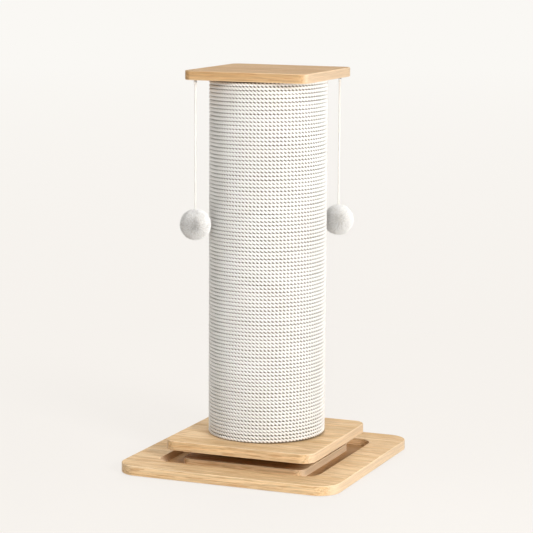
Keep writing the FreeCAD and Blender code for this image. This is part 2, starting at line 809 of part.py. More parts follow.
def make_pompom(side, x, y, length):
    """The straight string under the knot and the pom-pom that pulls it straight."""
    string_top = f"{TOP_BOTTOM} - staple_drop - knot_drop - knot_radius - knot_play"
    pompom_top = f"({string_top} - {length})"
    string = rod(f"{side}_line", "string_radius", f"{length} + pompom_socket")
    keep(string, f"{side}_string")
    doc.recompute()
    expected = math.pi * value("string_radius") ** 2 * value(f"{length} + pompom_socket")
    print(f"{string.Label}: volume {string.Shape.Volume / expected:.4f} of section times length")
    place(string, x, y, f"{pompom_top} - pompom_socket")
    ball = globe(f"{side}_yarn", "pompom_radius")
    socket = rod(f"{side}_socket", "string_radius + fit_gap", "pompom_radius")
    place(socket, z="pompom_radius - pompom_socket")
    pompom = doc.addObject("Part::Cut", f"{side}_yarn_ball")
    pompom.Base = ball
    pompom.Tool = socket
    keep(pompom, f"{side}_pompom")
    place(pompom, x, y, f"{pompom_top} - pompom_radius")


def make_toys():
    """A pom-pom under the front left corner and one under the back right corner."""
    corners = (
        ("left", "-anchor_offset", "left_string_length", LEFT_CROWN_ANGLE),
        ("right", "anchor_offset", "right_string_length", RIGHT_CROWN_ANGLE),
    )
    for side, place_xy, length, crown_turn in corners:
        make_staple(side, place_xy, place_xy, crown_turn)
        make_loop(side, place_xy, place_xy, crown_turn)
        make_pompom(side, place_xy, place_xy, length)


# ---- output ------------------------------------------------------------------------------


def check_model():
    """Stops if any object failed or any sub-part is missing or broken."""
    for thing in doc.Objects:
        if any(word in thing.State for word in ("Invalid", "Error")):
            raise RuntimeError(f"{thing.Label} failed: {thing.State}")
    for thing in nodes:
        shape = thing.Shape
        if shape.isNull() or not shape.isValid() or not shape.Solids:
            raise RuntimeError(f"{thing.Label} has no sound solid")


def write_parts():
    os.makedirs("parts", exist_ok=True)
    for thing in nodes:
        thing.Shape.exportStep(f"parts/{thing.Label}.step")
        print(f"{thing.Label}: {len(thing.Shape.Solids)} solid(s), {thing.Shape.Volume / 1000:.2f} cm3")


fill_sheet()
make_pads()
make_base_board()
make_spacer()
make_step_board()
make_tube()
make_discs()
make_top_board()
make_screws()
make_rim_screws()
make_bolts()
make_rope()
make_ball()
make_toys()
doc.recompute()
check_model()
write_parts()
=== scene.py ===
"""Looks of the cat scratching post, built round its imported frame. Metres, +Z up.

A ball race base, a step board, a post wound with twisted cotton rope, a top board and two yarn
pom-poms that hang on strings from opposite corners of the top board.
"""

import math
from typing import NamedTuple

import bpy
import numpy as np
from mathutils import Matrix, Vector


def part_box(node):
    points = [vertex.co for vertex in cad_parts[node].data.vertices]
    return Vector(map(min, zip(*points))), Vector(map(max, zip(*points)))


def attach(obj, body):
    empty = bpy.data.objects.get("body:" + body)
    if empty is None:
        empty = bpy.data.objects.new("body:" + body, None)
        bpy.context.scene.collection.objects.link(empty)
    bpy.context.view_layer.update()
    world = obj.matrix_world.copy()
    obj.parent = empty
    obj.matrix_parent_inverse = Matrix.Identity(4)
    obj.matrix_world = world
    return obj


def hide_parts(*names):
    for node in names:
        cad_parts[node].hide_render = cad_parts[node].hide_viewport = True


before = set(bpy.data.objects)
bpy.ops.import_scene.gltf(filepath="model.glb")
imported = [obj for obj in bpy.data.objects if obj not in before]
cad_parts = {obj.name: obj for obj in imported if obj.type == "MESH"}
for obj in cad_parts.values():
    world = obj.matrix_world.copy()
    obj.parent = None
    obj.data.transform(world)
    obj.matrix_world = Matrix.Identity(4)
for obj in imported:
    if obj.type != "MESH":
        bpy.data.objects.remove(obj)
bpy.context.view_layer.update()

MM = 0.001
FULL_TURN = 2 * math.pi

# ---- sizes -------------------------------------------------------------------------------

# The camera stands on the photograph's viewpoint.
CAMERA_AZIMUTH = math.radians(22.2948)
CAMERA_DISTANCE = 3.70405
CAMERA_HEIGHT = 0.92487
CAMERA_TILT = math.radians(8.8845)
CAMERA_ROLL = math.radians(0.3468)
CAMERA_TURN = math.radians(0.0292)
CAMERA_SEES_TO = 100.0
FOCAL_LENGTH = 145.503
SENSOR_WIDTH = 36.0

# The lamps' places round the post and their tilt towards the floor, in metres and degrees. A level
# of 1 lights white to white.
SKY_LEVEL = 0.15
LAMPS = {
    "window": dict(azimuth=55, distance=2.4, height=1.1, tilt=18, size=(0.6, 0.7), level=0.88),
    "front": dict(azimuth=12, distance=2.5, height=1.6, tilt=28, size=(0.4, 0.4), level=0.24),
    "back": dict(
        azimuth=200, distance=2.6, height=1.3, tilt=18, size=(1.6, 1.2), level=0.55, mirrored=False
    ),
    "left": dict(
        azimuth=285, distance=2.6, height=1.2, tilt=12, size=(1.2, 1.2), level=0.09, mirrored=False
    ),
    "ceiling": dict(
        azimuth=0, distance=0.01, height=5.0, tilt=90, size=(4.6, 4.6), level=0.42, reach=4.8
    ),
}

# Near the post the floor shows FLOOR_UNLIT_SHARE of its colour unlit and the rest as lit, so that
# it keeps the shadow. From FLOOR_FAR on it is all unlit, and by FLOOR_FADE_END it has the
# background's colour.
FLOOR_SIDES = 128
FLOOR_RADIUS = 30.0
FLOOR_NEAR = 0.35
FLOOR_FAR = 1.3
FLOOR_FADE_END = 11.0
FLOOR_UNLIT_SHARE = 0.85

# The rope is one line round the tube, cut into five lengths at the stops. Its pitch grows by
# ROPE_PITCH_GROWTH from the bottom to the top. At a fullness of 1 its rows would just meet.
ROPE_STOPS = [math.radians(a) for a in (198, 6952, 14152, 20992, 28192, 34948)]
ROPE_RADIUS = 99.4 * MM
ROPE_BOTTOM = 56.6 * MM
ROPE_RISE = 613.8 * MM
ROPE_PITCH_GROWTH = 0.5 * MM
ROPE_HALF_DEPTH = 2.98 * MM
ROPE_FULLNESS = 1.12

# A strand shows this often in a turn round the tube, and so many yarns lie round the rope.
ROPE_CROSSINGS = 95
ROPE_STRANDS = 2
ROPE_YARNS = 24
ROPE_LAY = FULL_TURN * ROPE_RADIUS * ROPE_STRANDS / ROPE_CROSSINGS
ROPE_STEPS_PER_LAY = 8
ROPE_SECTION = dict(strands=ROPE_STRANDS, points_per_strand=6, valley=0.36, shoulder=1.7)

# Its cut ends are drawn in by this share over this length.
ROPE_END = 2.5 * MM
ROPE_END_TAPER = 0.2

# What strays from the even winding, how far, and over what angle. Each has its own random seed.
ROPE_STRAYS = {
    "radius": dict(seed=5, step=0.35, size=0.07 * MM),
    "height": dict(seed=6, step=0.8, size=0.1 * MM),
    "phase": dict(seed=7, step=1.1, size=0.16),
    "depth": dict(seed=8, step=0.25, size=0.012),
    "width": dict(seed=9, step=0.25, size=0.012),
}

# The ball race: its outer edge's distance from the middle, and its floor's height.
RACE_REACH = 148 * MM
RACE_FLOOR = 6 * MM

# The strings, from the knot under the board's corner into the pom-pom.
STRING_DIAMETER = 3.6 * MM
STRING_LAY = 10 * MM
STRING_POINTS = 260
STRING_SECTION = dict(strands=3, points_per_strand=6, valley=0.66, shoulder=2.0)
STRING_ROUTES = {
    "left": [(-0.095, -0.095, 0.6622), (-0.095, -0.095, 0.554), (-0.095, -0.095, 0.4459)],
    "right": [(0.095, 0.095, 0.6622), (0.095, 0.095, 0.5522), (0.095, 0.095, 0.4422)],
}

# The string's loop round the staple, the knot that closes it, and the neck between them.
LOOP_CENTRE_Z = 669.6 * MM
LOOP_RADIUS = 2.2 * MM
LOOP_CORD_RADIUS = 1.0 * MM
LOOP_LAY = 5 * MM
LOOP_POINTS = 73
LOOP_SECTION = dict(strands=2, points_per_strand=6, valley=0.7, shoulder=2.0)
KNOT_BOTTOM = 662.9 * MM
KNOT_TOP = 666.6 * MM
KNOT_WRAPS = 2.6
KNOT_WRAP_RADIUS = 1.5 * MM
KNOT_CORD_RADIUS = 0.95 * MM
KNOT_POINTS = 90
NECK_RADIUS = 1.3 * MM
NECK_LAY = 6 * MM
NECK_POINTS = 24
CORNER_DIRECTIONS = {"left": Vector((-1, -1, 0)), "right": Vector((1, 1, 0))}

# The pom-poms: the core's radius as a share of the pom-pom's, and how far out in the core the
# strands start, as a share of that.
YARN_SEEDS = {"left": 11, "right": 29}
YARN_CORE = 0.64
YARN_ROOT = 0.97
CORE_SUBDIVISIONS = 4

# Their strands: each ring of points is at a share of the length and has a share of the thickness.
# YARN_SOFTNESS is how far the strands' sides are lit as the pom-pom's outside is.
YARN_ENDS = 12000
YARN_RADIUS = 0.42 * MM
YARN_SIDES = 3
YARN_RINGS = ((0, 0.7), (0.55, 1.0), (0.9, 0.95))
YARN_STIR = 0.012
YARN_BEND = 0.6 * MM
YARN_SHORTEST = 0.95
YARN_SOFTNESS = 0.5

# The clumps that the strands are drawn into, and how much of a strand's shade is its clump's.
CLUMPS = 1500
CLUMP_STIR = 0.03
CLUMP_PULL = 0.55
CLUMP_SHORTEST = 0.94
CLUMP_SHADE_SHARE = 0.7

# ---- looks -------------------------------------------------------------------------------


def srgb(red, green, blue):
    """A colour written as 0 to 255, as the shader's linear values."""
    values = []
    for part in (red, green, blue):
        part = part / 255
        values.append(part / 12.92 if part <= 0.04045 else ((part + 0.055) / 1.055) ** 2.4)
    return (*values, 1.0)


BACKDROP = srgb(250, 248, 244)
FLOOR_COLOUR = srgb(246, 242, 237)
SKY_COLOUR = (1.0, 0.95, 0.88, 1.0)

# Light and dark wood of each kind.
BOARD_WOOD = (srgb(243, 211, 167), srgb(229, 191, 141))
# The top board's wood is a darker copy of the board wood: painted shade against the ceiling lamp,
# which lights it more.
TOP_WOOD_SHADED = (srgb(219, 181, 135), srgb(203, 162, 113))
INNER_WOOD = (srgb(214, 186, 148), srgb(200, 170, 130))
BALL_WOOD = (srgb(206, 164, 116), srgb(190, 146, 98))
# Wear and a painted highlight along the eased edges.
EDGE_WEAR_AND_HIGHLIGHT = srgb(255, 232, 198)
# Painted light: the pale colour of the end faces, as where the lamps wash them.
END_GRAIN_PAINTED_LIGHT = srgb(250, 230, 204)
GRAIN_STROKE = srgb(176, 124, 74)
# Painted shade on the floor of the ball race, in its recess.
RACE_SHADE_COLOUR = srgb(160, 114, 66)

COTTON = srgb(247, 246, 243)
# Soil on the cotton in patches, and painted shade in the valleys between its strands.
COTTON_SOIL_AND_SHADE = srgb(203, 191, 174)
# Painted shade: the rope's colour in the gaps between its rows, towards the tube.
ROW_GAP_SHADE = srgb(116, 104, 90)
STRING = srgb(240, 237, 231)
YARN = srgb(255, 254, 252)
# Painted shade deeper in the pom-pom, between its strands.
YARN_PAINTED_SHADE = srgb(234, 229, 221)
# The tube's paper is painted dark, as shade where it shows between the rope's rows.
SHADED_PAPER_DARK = srgb(108, 95, 79)
SHADED_PAPER_LIGHT = srgb(124, 109, 91)
PAPER_PLY_RISE = 120 * MM
ZINC = srgb(196, 198, 200)
FOAM = srgb(52, 51, 50)
FOAM_DUST = srgb(78, 76, 74)

# The wood's patterns: how fast each changes along X, Y and Z, its detail and its roughness.
GRAIN = {
    "sway": ((5, 14, 14), 3.0, 0.5),
    "bands": ((2.2, 38, 38), 3.0, 0.5),
    "fibres": ((16, 760, 760), 4.0, 0.62),
    "pores": ((85, 1500, 1500), 1.0, 0.5),
    "strokes": ((24, 430, 430), 2.0, 0.5),
    "plies": ((14, 14, 620), 3.0, 0.5),
}
RING_GAP = 7 * MM
BALL_RING_GAP = 3 * MM
RING_SWAY = 35 * MM

# How much of each mark the wood shows, and how deep its pores are next to its fibres.
RING_SHADE = 0.13
FIBRE_SHADE = 0.24
PORE_SHADE = 0.24
PLY_SHADE = 0.3
STROKE_SHARE = 0.5
END_LIGHT_AND_PLY_SHARE = 0.62
EDGE_HIGHLIGHT_AND_WEAR_SHARE = 0.45
RACE_SHADE_SHARE = 0.6
PORE_DEPTH = 0.5

# How dark the painted shade in the rope's valleys is, and how high its yarns stand next to its
# fluff.
VALLEY_PAINTED_SHADE_SHARE = 0.6
YARN_RELIEF = 0.35

# ---- shader nodes ------------------------------------------------------------------------


class Nodes:
    """Builds a node tree. A value given to it is a plain one or the output of another node."""

    def __init__(self, tree):
        self.tree = tree

    def node(self, kind, feeds=(), **settings):
        """A new node with its settings made and its inputs fed."""
        made = self.tree.nodes.new("ShaderNode" + kind)
        for name, value in settings.items():
            setattr(made, name, value)
        for socket, value in dict(feeds).items():
            self.feed(made.inputs[socket], value)
        return made

    def feed(self, socket, value):
        if isinstance(value, bpy.types.NodeSocket):
            self.tree.links.new(value, socket)
        else:
            socket.default_value = value

    def number(self, operation, first, second=0.0):
        return self.node("Math", {0: first, 1: second}, operation=operation).outputs[0]

    def plus(self, first, second):
        return self.number("ADD", first, second)

    def times(self, first, second):
        return self.number("MULTIPLY", first, second)

    def length(self, vector):
        return self.node("VectorMath", {0: vector}, operation="LENGTH").outputs["Value"]

    def parts(self, vector):
        """The X, Y and Z of a vector."""
        return self.node("SeparateXYZ", {"Vector": vector}).outputs

    def spread(self, value, low, high, new_low=0.0, new_high=1.0):
        """The value mapped smoothly from low..high to a new range, and held there."""
        feeds = {
            "Value": value,
            "From Min": low,
            "From Max": high,
            "To Min": new_low,
            "To Max": new_high,
        }
        made = self.node("MapRange", feeds, interpolation_type="SMOOTHSTEP")
        return made.outputs["Result"]

    def blend(self, share, first, second, way="MIX"):
        """The first colour where share is 0, mixed this way with the second where it is 1."""
        # A Mix node has its colours at inputs 6 and 7, and what comes of them at output 2.
        made = self.node("Mix", {0: share}, data_type="RGBA", blend_type=way)
        self.feed(made.inputs[6], first)
        self.feed(made.inputs[7], second)
        return made.outputs[2]

    def shade(self, colour, share, amount):
        """The colour darkened by up to amount where share is 1."""
        dark = 1 - amount
        darkened = self.blend(1.0, colour, (dark, dark, dark, 1), "MULTIPLY")
        return self.blend(share, colour, darkened)

    def seen_directly(self):
        """1 where the ray comes from the camera, from a reflection or through glass, or else 0."""
        rays = self.node("LightPath").outputs
        mirrored = self.number("MAXIMUM", rays["Is Camera Ray"], rays["Is Glossy Ray"])
        return self.number("MAXIMUM", mirrored, rays["Is Transmission Ray"])


class Shader(Nodes):
    """One procedural material, built round a Principled shader."""

    def __init__(self, name, sockets):
        self.material = bpy.data.materials.new(name)
        self.material.use_nodes = True
        super().__init__(self.material.node_tree)
        self.surface = self.tree.nodes["Principled BSDF"]
        for socket, value in sockets.items():
            self.surface.inputs[socket].default_value = value
        self.place = self.node("TexCoord").outputs["Object"]

    def stretched(self, scale, shift=(0, 0, 0)):
        """The place on the object, scaled along each axis and shifted."""
        feeds = {"Vector": self.place, "Scale": scale, "Location": shift}
        return self.node("Mapping", feeds).outputs[0]

    def noise(self, vector, scale=1.0, detail=2.0, roughness=0.5):
        feeds = {"Vector": vector, "Scale": scale, "Detail": detail, "Roughness": roughness}
        return self.node("TexNoise", feeds).outputs[0]

    def lay_map(self):
        """The X, Y and Z of the mesh's own map."""
        return self.parts(self.node("UVMap", uv_map="lay").outputs[0])

    def finish(self, colour, height, depth, strength, roughness=None):
        """The material with this colour, and with height raising its surface by up to depth."""
        self.feed(self.surface.inputs["Base Color"], colour)
        if roughness is not None:
            self.feed(self.surface.inputs["Roughness"], roughness)
        feeds = {"Height": height, "Distance": depth, "Strength": strength}
        self.feed(self.surface.inputs["Normal"], self.node("Bump", feeds).outputs[0])
        return self.material


# ---- camera and light --------------------------------------------------------------------


def make_camera():
    """The camera, placed and turned as the photograph's was."""
    heading = CAMERA_AZIMUTH + CAMERA_TURN
    ahead = Vector((-math.sin(heading), math.cos(heading), 0))
    up = Vector((0, 0, 1))
    forward = ahead * math.cos(CAMERA_TILT) - up * math.sin(CAMERA_TILT)
    above = ahead * math.sin(CAMERA_TILT) + up * math.cos(CAMERA_TILT)
    right = forward.cross(above)
    across = right * math.cos(CAMERA_ROLL) + above * math.sin(CAMERA_ROLL)
    upward = above * math.cos(CAMERA_ROLL) - right * math.sin(CAMERA_ROLL)
    data = bpy.data.cameras.new("camera")
    data.lens = FOCAL_LENGTH
    data.sensor_width = SENSOR_WIDTH
    data.clip_end = CAMERA_SEES_TO
    camera = bpy.data.objects.new("camera", data)
    turned = Matrix((across, upward, -forward)).transposed().to_4x4()
    x = CAMERA_DISTANCE * math.sin(CAMERA_AZIMUTH)
    y = -CAMERA_DISTANCE * math.cos(CAMERA_AZIMUTH)
    camera.matrix_world = Matrix.Translation((x, y, CAMERA_HEIGHT)) @ turned
    bpy.context.scene.collection.objects.link(camera)
    bpy.context.scene.camera = camera


def make_panel(name, azimuth, distance, height, tilt, size, level, reach=None, mirrored=True):
    """A lamp panel that faces the post. At level 1 it alone lights white to white at its reach.

    Angles are in degrees. A panel that isn't mirrored leaves no glare on the boards.
    """
    azimuth = math.radians(azimuth)
    tilt = math.radians(tilt)
    facing = Vector(
        (
            -math.sin(azimuth) * math.cos(tilt),
            math.cos(azimuth) * math.cos(tilt),
            -math.sin(tilt),
        )
    )
    data = bpy.data.lights.new(name, "AREA")
    data.shape = "RECTANGLE"
    data.size, data.size_y = size
    data.energy = level * (math.pi * (reach or distance)) ** 2
    lamp = bpy.data.objects.new(name, data)
    lamp.location = (distance * math.sin(azimuth), -distance * math.cos(azimuth), height)
    lamp.rotation_mode = "QUATERNION"
    lamp.rotation_quaternion = facing.to_track_quat("-Z", "Y")
    lamp.visible_glossy = mirrored
    bpy.context.scene.collection.objects.link(lamp)


def make_world():
    """An even pale sky that shows as the background colour."""
    world = bpy.data.worlds.new("studio")
    world.use_nodes = True
    nodes = Nodes(world.node_tree)
    nodes.tree.nodes.clear()
    sky = nodes.node("Background", {"Color": SKY_COLOUR, "Strength": SKY_LEVEL}).outputs[0]
    shown = nodes.node("Background", {"Color": BACKDROP}).outputs[0]
    mixer = nodes.node("MixShader", {0: nodes.seen_directly(), 1: sky, 2: shown})
    nodes.node("OutputWorld", {"Surface": mixer.outputs[0]})
    bpy.context.scene.world = world


def make_floor():
    """A pale floor that fades into the background and keeps the object's shadow."""
    bpy.ops.mesh.primitive_circle_add(vertices=FLOOR_SIDES, radius=FLOOR_RADIUS, fill_type="NGON")
    floor = bpy.context.object
    floor.name = "floor"
    material = bpy.data.materials.new("floor")
    material.use_nodes = True
    nodes = Nodes(material.node_tree)
    nodes.tree.nodes.clear()
    away = nodes.length(nodes.node("TexCoord").outputs["Object"])
    fade = {"Value": away, "From Min": FLOOR_FAR, "From Max": FLOOR_FADE_END}
    faded = nodes.node("MapRange", fade).outputs["Result"]
    glow = nodes.node("Emission", {"Color": nodes.blend(faded, FLOOR_COLOUR, BACKDROP)}).outputs[0]
    paint = nodes.node("BsdfDiffuse", {"Color": FLOOR_COLOUR}).outputs[0]
    unlit = nodes.spread(away, FLOOR_NEAR, FLOOR_FAR, FLOOR_UNLIT_SHARE, 1.0)
    share = nodes.times(unlit, nodes.seen_directly())
    mixer = nodes.node("MixShader", {0: share, 1: paint, 2: glow})
    nodes.node("OutputMaterial", {"Surface": mixer.outputs[0]})
    floor.data.materials.append(material)


# ---- materials ---------------------------------------------------------------------------


def race_floor_share(shader, upward, reach, height):
    """1 on the level floor of a square race with this reach, at this height, or else 0."""
    x, y, z = shader.parts(shader.place)
    out = shader.number("MAXIMUM", shader.number("ABSOLUTE", x), shader.number("ABSOLUTE", y))
    inside = shader.spread(out, low=reach + 1.5 * MM, high=reach + 0.5 * MM)
    sunk = shader.spread(z, low=height + 3 * MM, high=height + 1 * MM)
    lying = shader.spread(upward, low=0.3, high=0.8)
    return shader.times(inside, shader.times(sunk, lying))


def wood(name, colours, shift, heart, ring_gap=RING_GAP, race=None):
    """Lacquered board with its grain along X: growth rings, fibres and short pores.

    shift moves the patterns, so that no two boards are alike. heart is how far beside and below
    the board the tree's middle lay. race gives the reach and the height of a ball race's floor,
    which is painted darker as the shade in its recess.
    """
    light, dark = colours
    shader = Shader(name, {"Specular IOR Level": 0.15})
    grain = {
        pattern: shader.noise(shader.stretched(scale, shift), detail=detail, roughness=roughness)
        for pattern, (scale, detail, roughness) in GRAIN.items()
    }

    # Where the surface lies: on a face along the grain or a sawn end, or on an eased edge.
    facing = shader.parts(shader.node("NewGeometry").outputs["Normal"])
    endwise = shader.number("ABSOLUTE", facing[0])
    lengthwise = shader.spread(endwise, low=0.9, high=0.5, new_low=0.2)
    sawn = shader.times(shader.number("SUBTRACT", 1.0, lengthwise), END_LIGHT_AND_PLY_SHARE)
    upright = shader.number("ABSOLUTE", facing[2])
    leaning = shader.spread(upright, low=0.1, high=0.4)
    eased = shader.times(leaning, shader.spread(upright, low=0.98, high=0.8))

    # The growth rings run round the tree's middle.
    _, y, z = shader.parts(shader.place)
    beside = shader.plus(y, heart[0])
    below = shader.plus(z, heart[1])
    squares = shader.plus(shader.times(beside, beside), shader.times(below, below))
    swayed = shader.plus(shader.number("SQRT", squares), shader.times(grain["sway"], RING_SWAY))
    ring = shader.number("FRACT", shader.number("DIVIDE", swayed, ring_gap))
    late = shader.spread(ring, low=0.35, high=0.97)

    tone = shader.spread(grain["bands"], low=0.32, high=0.68)
    fine = shader.spread(grain["fibres"], low=0.62, high=0.36)
    flecks = shader.spread(grain["pores"], low=0.66, high=0.74)
    strokes = shader.times(shader.spread(grain["strokes"], low=0.53, high=0.64), STROKE_SHARE)
    plies = shader.spread(grain["plies"], low=0.62, high=0.38)
    colour = shader.blend(shader.times(tone, lengthwise), dark, light)
    # Painted light: the end faces are made paler, as where the lamps wash them; their plies follow.
    colour = shader.blend(sawn, colour, END_GRAIN_PAINTED_LIGHT)
    colour = shader.shade(colour, shader.times(late, lengthwise), RING_SHADE)
    colour = shader.shade(colour, shader.times(fine, lengthwise), FIBRE_SHADE)
    colour = shader.shade(colour, shader.times(flecks, lengthwise), PORE_SHADE)
    colour = shader.blend(shader.times(strokes, lengthwise), colour, GRAIN_STROKE)
    colour = shader.shade(colour, shader.times(plies, sawn), PLY_SHADE)
    # Painted shade: the race's sunken floor is darkened, as shade in the recess.
    if race is not None:
        race_shade = shader.times(race_floor_share(shader, facing[2], *race), RACE_SHADE_SHARE)
        colour = shader.blend(race_shade, colour, RACE_SHADE_COLOUR)
    # Painted highlight, with some wear: the eased edges are lighter, as where they catch the light.
    colour = shader.blend(shader.times(eased, EDGE_HIGHLIGHT_AND_WEAR_SHARE), colour, EDGE_WEAR_AND_HIGHLIGHT)
    roughness = shader.spread(grain["fibres"], low=0.3, high=0.7, new_low=0.6, new_high=0.48)
    height = shader.number("SUBTRACT", grain["fibres"], shader.times(flecks, PORE_DEPTH))
    return shader.finish(colour, height, depth=0.12 * MM, strength=0.35, roughness=roughness)


def cardboard():
    """Grey-brown tube paper, darkened as painted shade, with the seams of its spiral plies."""
    shader = Shader("cardboard", {"Roughness": 0.9})
    x, y, z = shader.parts(shader.place)
    turn = shader.number("DIVIDE", shader.number("ARCTAN2", y, x), FULL_TURN)
    rise = shader.plus(turn, shader.number("DIVIDE", z, PAPER_PLY_RISE))
    seam = shader.spread(shader.number("FRACT", rise), low=0.985, high=1.0)
    pulp = shader.noise(shader.place, scale=900.0, detail=4.0, roughness=0.7)
    mottle = shader.noise(shader.place, scale=60.0, detail=3.0)
    # Painted shade: the paper is dark so that it reads as shade between the rope's rows.
    colour = shader.blend(shader.spread(mottle, low=0.35, high=0.65), SHADED_PAPER_DARK, SHADED_PAPER_LIGHT)
    colour = shader.shade(colour, shader.spread(pulp, low=0.6, high=0.35), amount=0.12)
    colour = shader.shade(colour, seam, amount=0.35)
    return shader.finish(colour, pulp, depth=0.1 * MM, strength=0.4)


def steel(name, turning):
    """Zinc-plated steel: bright, slightly clouded, with fine turning marks."""
    shader = Shader(name, {"Metallic": 1.0})
    cloud = shader.noise(shader.place, scale=420.0, detail=4.0, roughness=0.6)
    marks = shader.noise(shader.stretched(turning))
    colour = shader.shade(ZINC, shader.spread(cloud, low=0.65, high=0.35), amount=0.14)
    roughness = shader.spread(cloud, low=0.3, high=0.7, new_low=0.26, new_high=0.46)
    return shader.finish(colour, marks, depth=0.03 * MM, strength=0.3, roughness=roughness)


def foam():
    """Closed-cell rubber foam of the non-slip pads."""
    shader = Shader("pad_foam", {"Roughness": 0.85})
    cells = shader.node("TexVoronoi", {"Vector": shader.place, "Scale": 1400.0}).outputs[0]
    dust = shader.noise(shader.place, scale=180.0, detail=4.0)
    colour = shader.blend(shader.spread(dust, low=0.35, high=0.75), FOAM, FOAM_DUST)
    colour = shader.shade(colour, shader.spread(cells, low=0.5, high=0.05), amount=0.3)
    return shader.finish(colour, cells, depth=0.15 * MM, strength=0.6)


def cotton_rope():
    """Off-white cotton: yarns along each strand, painted shade in its valleys and against the tube.

    The mesh's map has the length along the rope in metres and the share of the way round it.
    """
    shader = Shader("cotton_rope", {"Roughness": 0.86, "Sheen Weight": 0.2, "Sheen Roughness": 0.5})
    along, around, _ = shader.lay_map()
    slant = shader.number("SUBTRACT", around, shader.number("DIVIDE", along, ROPE_LAY))
    yarns = shader.number("SINE", shader.times(slant, FULL_TURN * ROPE_YARNS))
    strand = shader.number("FRACT", shader.times(around, ROPE_STRANDS))
    from_crown = shader.number("ABSOLUTE", shader.number("SUBTRACT", strand, 0.5))
    valley = shader.spread(from_crown, low=0.36, high=0.5)
    fluff = shader.noise(shader.place, scale=1500.0, detail=5.0, roughness=0.7)
    patches = shader.noise(shader.place, scale=14.0, detail=3.0)
    level = shader.node("VectorMath", {0: shader.place, 1: (1, 1, 0)}, operation="MULTIPLY")
    radius = shader.length(level.outputs[0])
    # Painted shade: the rope darkens towards the tube, in the gaps between its rows.
    gap_shade = shader.spread(radius, low=ROPE_RADIUS + 1.3 * MM, high=ROPE_RADIUS + 0.1 * MM)
    soiled = shader.spread(patches, low=0.3, high=0.7, new_high=0.12)
    colour = shader.blend(soiled, COTTON, COTTON_SOIL_AND_SHADE)
    # Painted shade in the valleys between the strands.
    colour = shader.blend(shader.times(valley, VALLEY_PAINTED_SHADE_SHARE), colour, COTTON_SOIL_AND_SHADE)
    colour = shader.blend(gap_shade, colour, ROW_GAP_SHADE)
    colour = shader.shade(colour, shader.spread(fluff, low=0.6, high=0.35), amount=0.1)
    height = shader.plus(shader.times(yarns, YARN_RELIEF), fluff)
    return shader.finish(colour, height, depth=0.12 * MM, strength=0.55)


def string_cord():
    """Off-white polyester string."""
    shader = Shader("string_cord", {"Roughness": 0.75, "Sheen Weight": 0.2, "Sheen Roughness": 0.4})
    fluff = shader.noise(shader.place, scale=2600.0, detail=4.0, roughness=0.7)
    colour = shader.shade(STRING, shader.spread(fluff, low=0.62, high=0.36), amount=0.14)
    return shader.finish(colour, fluff, depth=0.08 * MM, strength=0.6)


def yarn(side):
    """Soft off-white yarn, greyer towards the middle of the pom-pom as painted shade.

    The mesh's map has each strand's own shade.
    """
    low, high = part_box(f"{side}_pompom")
    centre = (low + high) / 2
    radius = (high.x - low.x) / 2
    sockets = {"Roughness": 0.95, "Diffuse Roughness": 1.0, "Specular IOR Level": 0.2}
    shader = Shader(f"yarn_{side}", sockets)
    out = shader.node("VectorMath", {0: shader.place, 1: centre}, operation="SUBTRACT").outputs[0]
    outer_unshaded = shader.spread(shader.length(out), low=0.78 * radius, high=0.93 * radius)
    fluff = shader.noise(shader.place, scale=2200.0, detail=4.0, roughness=0.7)
    tufts = shader.noise(shader.place, scale=260.0)
    # Painted shade: the yarn greys deeper in, between the strands.
    colour = shader.blend(outer_unshaded, YARN_PAINTED_SHADE, YARN)
    colour = shader.shade(colour, shader.lay_map()[0], amount=0.2)
    colour = shader.shade(colour, shader.spread(tufts, low=0.6, high=0.35), amount=0.06)
    colour = shader.shade(colour, shader.spread(fluff, low=0.62, high=0.36), amount=0.05)
    return shader.finish(colour, fluff, depth=0.1 * MM, strength=0.5)


def dress(material, *nodes):
    """Gives these CAD nodes their material."""
    for node in nodes:
        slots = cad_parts[node].data.materials
        slots.clear()
        slots.append(material)


def dress_frame():
    """Gives every CAD node that stays shown its material."""
    race = (RACE_REACH, RACE_FLOOR)
    base = wood("base_wood", BOARD_WOOD, shift=(3.1, 0.4, 1.7), heart=(0.07, 0.19), race=race)
    step = wood("step_wood", BOARD_WOOD, shift=(7.7, 2.3, 4.9), heart=(-0.05, 0.11))
    top = wood("top_wood", TOP_WOOD_SHADED, shift=(1.3, 6.1, 8.2), heart=(0.04, -0.5))
    inner = wood("inner_wood", INNER_WOOD, shift=(5.2, 1.1, 0.6), heart=(0.3, 0.2))
    ball = wood("ball_wood", BALL_WOOD, (0.2, 9.4, 3.3), (0.09, 0.02), BALL_RING_GAP)
    dress(base, "base_board")
    dress(step, "step_board")
    dress(top, "top_board")
    dress(inner, "spacer_block", "lower_end_disc", "upper_end_disc")
    dress(ball, "track_ball")
    dress(cardboard(), "core_tube")
    dress(
        steel("zinc_screws", turning=(900, 900, 60)),
        "deck_screws",
        "top_board_screws",
        "post_bolts",
        "bolt_washers",
        "threaded_inserts",
        "left_string_staple",
        "right_string_staple",
    )
    across_tube = steel("zinc_rim_screws", turning=(60, 60, 900))
    dress(across_tube, "lower_rim_screws", "upper_rim_screws")
    dress(foam(), *[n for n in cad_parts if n.startswith("non_slip_pad")])


# ---- mesh code ---------------------------------------------------------------------------


class Line(NamedTuple):
    """A line of points, the length along it to each, and two directions across it at each."""

    points: np.ndarray
    lengths: np.ndarray
    outs: np.ndarray
    ups: np.ndarray


def mesh_object(name, points, faces, material, around):
    """A smooth-shaded mesh. around gives each face corner its place on the lay map."""
    mesh = bpy.data.meshes.new(name)
    mesh.from_pydata(points, [], faces)
    mesh.shade_smooth()
    mesh.uv_layers.new(name="lay").data.foreach_set("uv", np.ravel(around))
    mesh.materials.append(material)
    mesh.validate()
    made = bpy.data.objects.new(name, mesh)
    bpy.context.scene.collection.objects.link(made)
    return made


